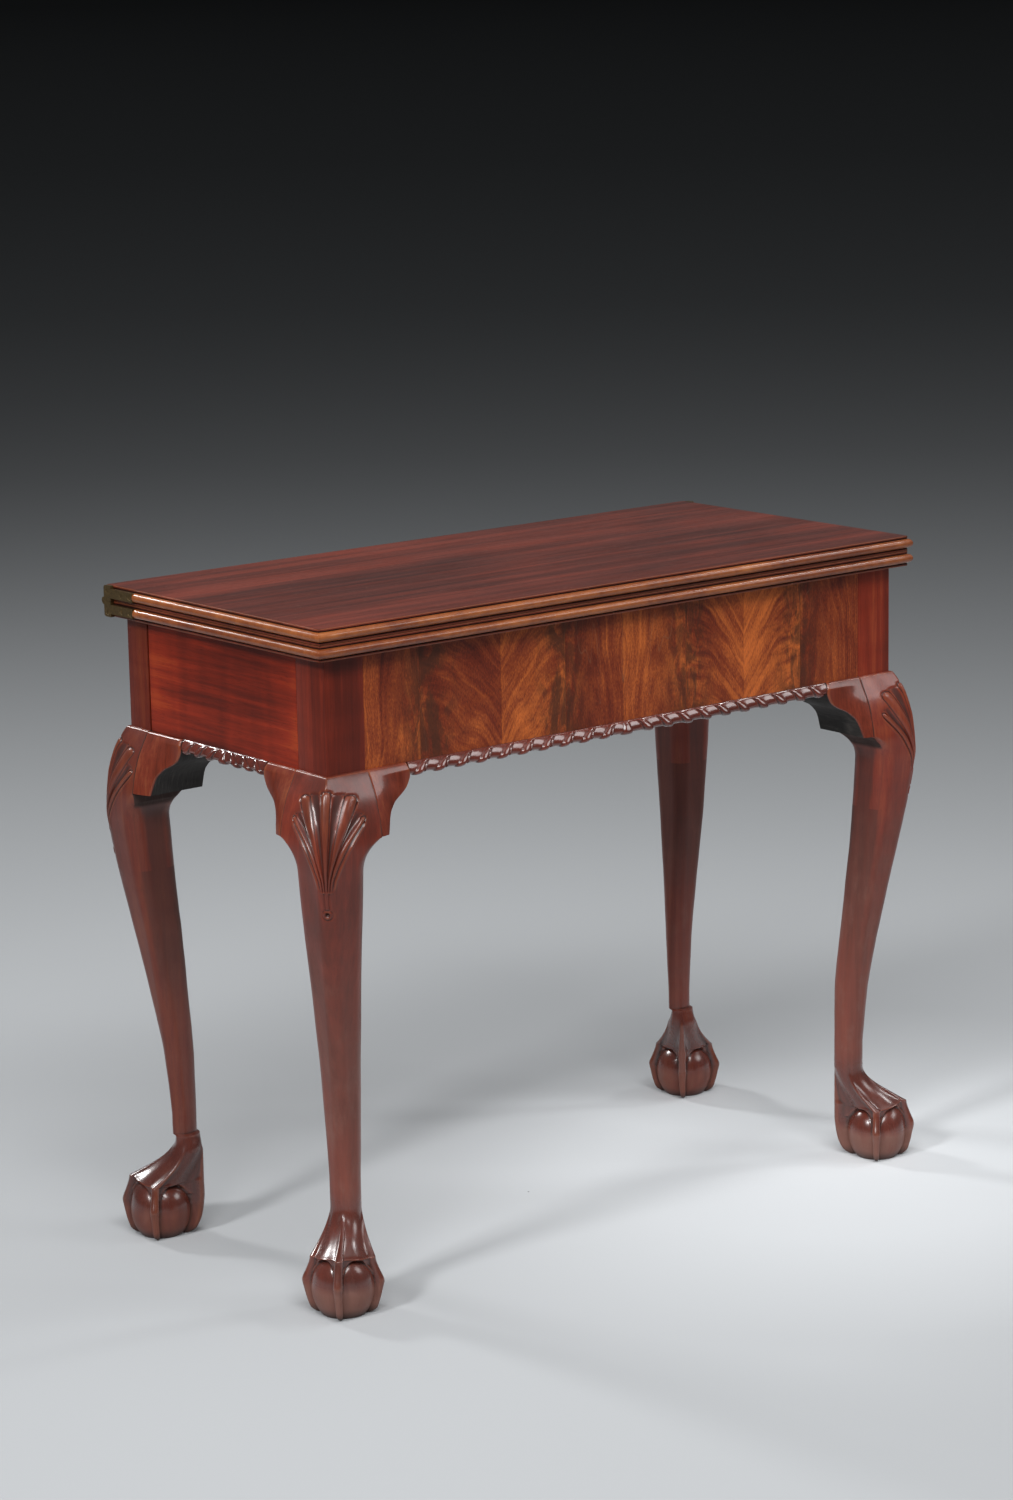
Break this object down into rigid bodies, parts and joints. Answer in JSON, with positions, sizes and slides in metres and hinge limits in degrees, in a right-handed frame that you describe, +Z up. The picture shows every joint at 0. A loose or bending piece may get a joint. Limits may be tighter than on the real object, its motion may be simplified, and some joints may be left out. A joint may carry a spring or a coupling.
{
  "type": "card table",
  "caption": "Folding card table: hinged double top, veneered frame with gadrooned edge, cabriole legs with claw-and-ball feet, one rear leg swinging on a knuckle joint.",
  "frame": {"origin": "on the floor, under the middle of the frame and of the four feet", "axes": "+Z up, front of the table towards -Y, +X along the front to the right as seen from the front"},
  "size_m": [0.8286, 0.3986, 0.711],
  "materials": {
    "mahogany": "polished old mahogany with grain streaks and worn edges",
    "crotch_veneer": "polished flame-figured mahogany veneer",
    "rail_wood": "dry stained rail wood",
    "secondary_wood": "unfinished aged pine",
    "brass": "aged, darkened brass",
    "iron": "dull wrought iron"
  },
  "bodies": {
    "frame": {"front_rail": "rail_wood", "front_veneer": "crotch_veneer", "left_end_rail": "mahogany", "right_end_rail": "mahogany", "inner_back_rail": "secondary_wood", "hinge_rail": "rail_wood", "knuckle_pin": "iron", "glue_blocks": "secondary_wood", "front_left_leg": "mahogany", "front_right_leg": "mahogany", "rear_right_leg": "mahogany", "front_left_block": "mahogany", "front_right_block": "mahogany", "left_front_block": "mahogany", "right_front_block": "mahogany", "right_rear_block": "mahogany", "front_gadroon": "mahogany", "left_gadroon": "mahogany", "right_gadroon": "mahogany", "lower_leaf": "mahogany", "lower_left_hinge": "brass", "lower_right_hinge": "brass", "lower_hinge_screws": "brass", "hinge_pins": "brass"},
    "top_leaf": {"upper_leaf": "mahogany", "upper_left_hinge": "brass", "upper_right_hinge": "brass", "upper_hinge_screws": "brass"},
    "gate": {"fly_rail": "rail_wood", "fly_leg": "mahogany", "fly_block": "mahogany"}
  },
  "joints": [
    {"name": "top_fold", "type": "hinge", "parent": "frame", "child": "top_leaf", "pos_m": [0, 0.18365, 0.69445], "axis": [-1, 0, 0], "range_deg": [0, 180]},
    {"name": "gate_swing", "type": "hinge", "parent": "frame", "child": "gate", "pos_m": [0, 0.14675, 0.56], "axis": [0, 0, -1], "range_deg": [0, 90]}
  ]
}
